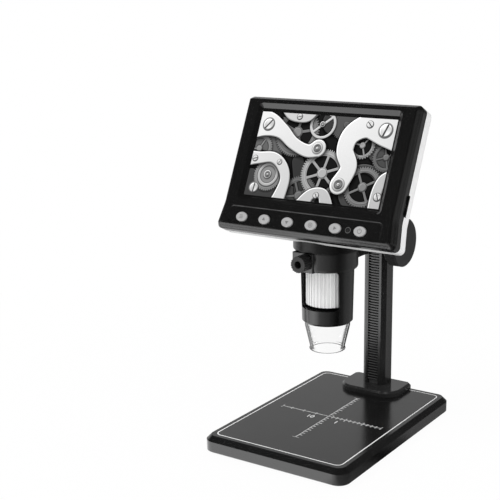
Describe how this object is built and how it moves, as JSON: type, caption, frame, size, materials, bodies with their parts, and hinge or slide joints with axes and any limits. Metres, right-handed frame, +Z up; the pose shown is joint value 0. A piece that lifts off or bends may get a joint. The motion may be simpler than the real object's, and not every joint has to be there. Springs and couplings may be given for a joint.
{
  "type": "lcd digital microscope",
  "caption": "Desk microscope with a tilted colour screen above a tubular camera head, held by a ring on a rack-and-pinion column over a flat stage.",
  "frame": {"origin": "on the bench, under the middle of the base", "axes": "+Z up along the column, -Y towards the user, +X to the right of the screen"},
  "size_m": [0.1256, 0.145, 0.2138],
  "materials": {
    "base_black": "fine satin",
    "rubber_black": "matte",
    "foot_gloss": "polished",
    "column_black": "satin",
    "rack_black": "satin",
    "screw_steel": "plain",
    "bracket_black": "satin",
    "glide_white": "smooth",
    "insert_brass": "plain",
    "shaft_steel": "turned",
    "knob_black": "satin",
    "bezel_black": "polished",
    "shell_white": "smooth",
    "screen_glass": "glossy screen",
    "tray_grey": "smooth",
    "board_green": "printed board",
    "battery_grey": "smooth",
    "switch_black": "smooth",
    "lamp_clear": "clear",
    "socket_steel": "plated",
    "tube_black": "satin",
    "guide_black": "smooth",
    "lamp_board_white": "smooth",
    "lamp_white": "smooth",
    "cap_clear": "clear moulded",
    "wheel_silver": "metallised",
    "lens_clear": "coated",
    "key_silver": "metallised",
    "dial_black": "knurled"
  },
  "bodies": {
    "stand": {"base_plate": "base_black", "rubber_feet": "rubber_black", "column_foot": "foot_gloss", "column": "column_black", "column_rack": "rack_black", "column_cap": "column_black", "column_screws": "screw_steel"},
    "carriage": {"carriage_block": "bracket_black", "pinion_bush": "bracket_black", "glide_pad": "glide_white", "support_arm": "bracket_black", "clamp_insert": "insert_brass", "arm_screws": "screw_steel"},
    "focus_drive": {"pinion_shaft": "shaft_steel", "focus_knob": "knob_black"},
    "thumb_screw": {"thumb_knob": "knob_black", "thumb_stud": "shaft_steel"},
    "head": {"front_bezel": "bezel_black", "rear_shell": "shell_white", "case_screws": "screw_steel", "lcd_panel": "screen_glass", "backlight_tray": "tray_grey", "main_board": "board_green", "board_screws": "screw_steel", "battery": "battery_grey", "key_board": "board_green", "key_switches": "switch_black", "power_lamp": "lamp_clear", "usb_socket": "socket_steel", "card_socket": "socket_steel", "dial_pot": "switch_black", "neck_collar": "tube_black", "barrel": "tube_black", "lens_guide": "guide_black", "sensor_board": "board_green", "led_board": "lamp_board_white", "led_ring": "lamp_white", "clear_cap": "cap_clear"},
    "focus_wheel": {"focus_wheel": "wheel_silver"},
    "lens_cell": {"lens_cell": "guide_black", "lens_glass": "lens_clear"},
    "light_dial": {"light_dial": "dial_black"},
    "key_1": {"key_1": "key_silver"},
    "key_2": {"key_2": "key_silver"},
    "key_3": {"key_3": "key_silver"},
    "key_4": {"key_4": "key_silver"},
    "key_5": {"key_5": "key_silver"},
    "key_6": {"key_6": "key_silver"}
  },
  "joints": [
    {"name": "carriage_slide", "type": "slide", "parent": "stand", "child": "carriage", "axis": [0, 0, 1], "range_m": [-0.044, 0.058]},
    {"name": "focus_knob_turn", "type": "hinge", "parent": "carriage", "child": "focus_drive", "pos_m": [0.0173, 0.0504, 0.1193], "axis": [1, 0, 0], "range_deg": [-695, 528]},
    {"name": "thumb_screw_turn", "type": "hinge", "parent": "carriage", "child": "thumb_screw", "pos_m": [-0.0038, -0.0264, 0.1184], "axis": [0, 1, 0], "range_deg": [-360, 180]},
    {"name": "head_turn", "type": "hinge", "parent": "carriage", "child": "head", "pos_m": [0, -0.006, 0.1178], "axis": [0, 0, 1], "range_deg": [-55, 55]},
    {"name": "lens_cell_slide", "type": "slide", "parent": "head", "child": "lens_cell", "axis": [0, 0, 1], "range_m": [-0.00298, 0.00298]},
    {"name": "focus_wheel_turn", "type": "hinge", "parent": "head", "child": "focus_wheel", "pos_m": [0, -0.006, 0.1006], "axis": [0, 0, 1], "range_deg": [-150, 150]},
    {"name": "light_dial_turn", "type": "hinge", "parent": "head", "child": "light_dial", "pos_m": [0.0518, -0.01979, 0.15866], "axis": [0, -0.9063, 0.4226], "range_deg": [-135, 135]},
    {"name": "key_1_press", "type": "slide", "parent": "head", "child": "key_1", "axis": [0, 0.9063, -0.4226], "range_m": [0, 0.0006], "stiffness_N_per_m": 2000, "springref_m": -0.0002},
    {"name": "key_2_press", "type": "slide", "parent": "head", "child": "key_2", "axis": [0, 0.9063, -0.4226], "range_m": [0, 0.0006], "stiffness_N_per_m": 2000, "springref_m": -0.0002},
    {"name": "key_3_press", "type": "slide", "parent": "head", "child": "key_3", "axis": [0, 0.9063, -0.4226], "range_m": [0, 0.0006], "stiffness_N_per_m": 2000, "springref_m": -0.0002},
    {"name": "key_4_press", "type": "slide", "parent": "head", "child": "key_4", "axis": [0, 0.9063, -0.4226], "range_m": [0, 0.0006], "stiffness_N_per_m": 2000, "springref_m": -0.0002},
    {"name": "key_5_press", "type": "slide", "parent": "head", "child": "key_5", "axis": [0, 0.9063, -0.4226], "range_m": [0, 0.0006], "stiffness_N_per_m": 2000, "springref_m": -0.0002},
    {"name": "key_6_press", "type": "slide", "parent": "head", "child": "key_6", "axis": [0, 0.9063, -0.4226], "range_m": [0, 0.0006], "stiffness_N_per_m": 2000, "springref_m": -0.0002}
  ],
  "couplings": [
    {"joint": "focus_knob_turn", "follows": "carriage_slide", "rad_per_m": -208.33},
    {"joint": "focus_wheel_turn", "follows": "lens_cell_slide", "rad_per_m": 877.19}
  ]
}
